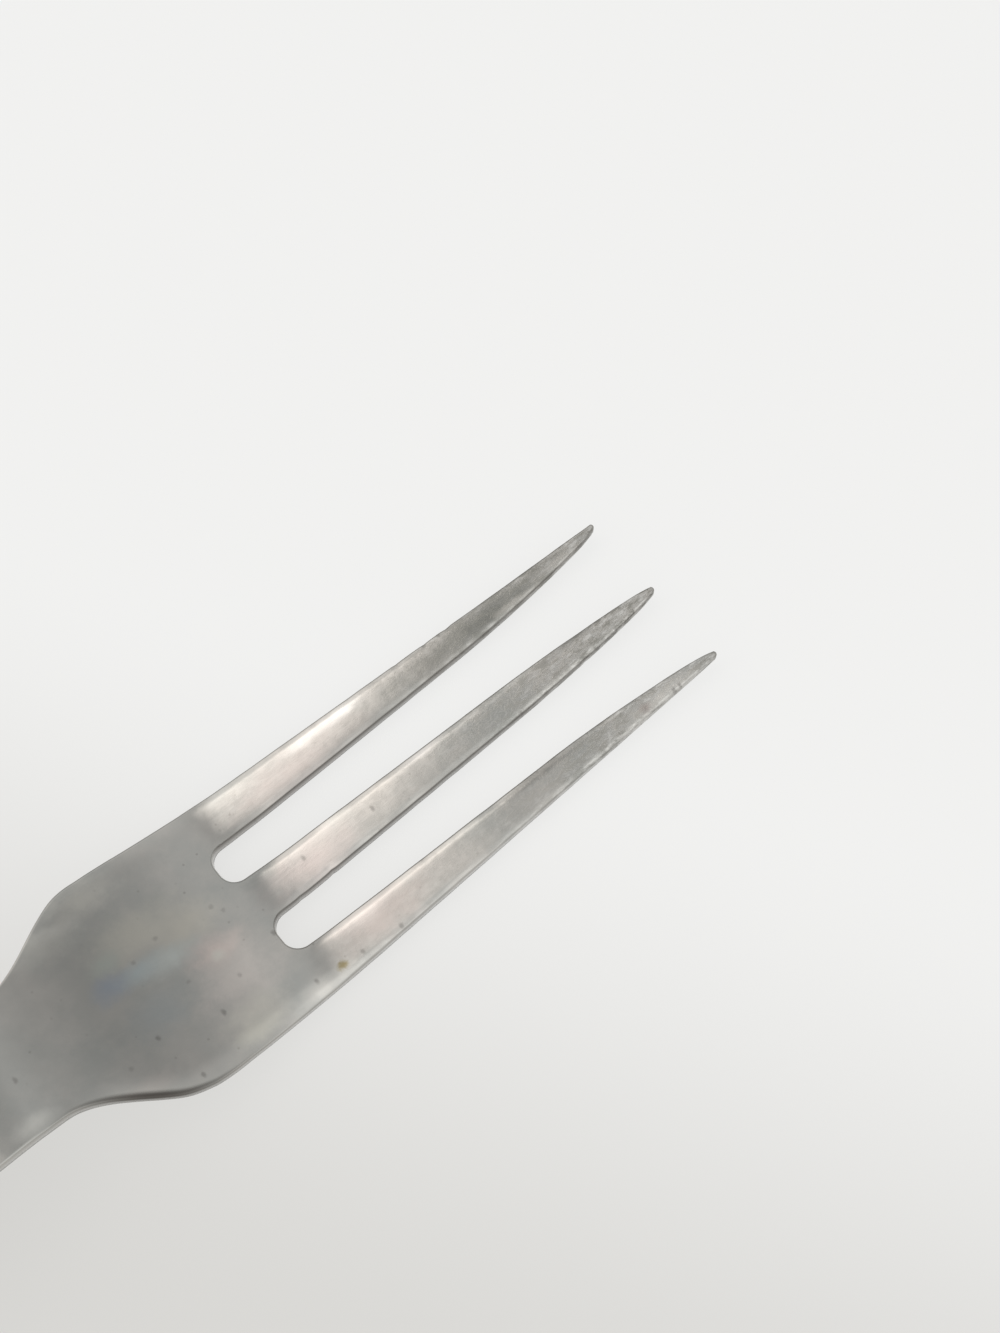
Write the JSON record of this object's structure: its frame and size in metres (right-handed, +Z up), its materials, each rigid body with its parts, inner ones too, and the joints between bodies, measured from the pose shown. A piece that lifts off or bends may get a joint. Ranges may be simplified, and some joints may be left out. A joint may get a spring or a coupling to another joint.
{
  "type": "meat fork",
  "caption": "Flat stamped steel meat fork with long pointed tines, round shoulders and a bent neck; its full tang is riveted between wooden scales with a hang hole at the butt.",
  "frame": {"origin": "on the table under the middle of the fork's length, where the fork lies on its heel and its butt", "axes": "+X along the fork from the butt to the points, +Y to the left of that, +Z up out of the top face"},
  "size_m": [0.243, 0.03, 0.0189],
  "materials": {
    "blade_steel": "satin stainless steel, worn, with fine scratches and faint heat stains",
    "scale_wood": "oiled walnut, hand worn",
    "rivet_brass": "ground flush with the wood, dulled"
  },
  "bodies": {
    "root": {"fork_blade": "blade_steel", "upper_scale": "scale_wood", "lower_scale": "scale_wood", "front_rivet_pin": "rivet_brass", "middle_rivet_pin": "rivet_brass", "rear_rivet_pin": "rivet_brass", "front_rivet_socket": "rivet_brass", "middle_rivet_socket": "rivet_brass", "rear_rivet_socket": "rivet_brass"}
  },
  "joints": []
}
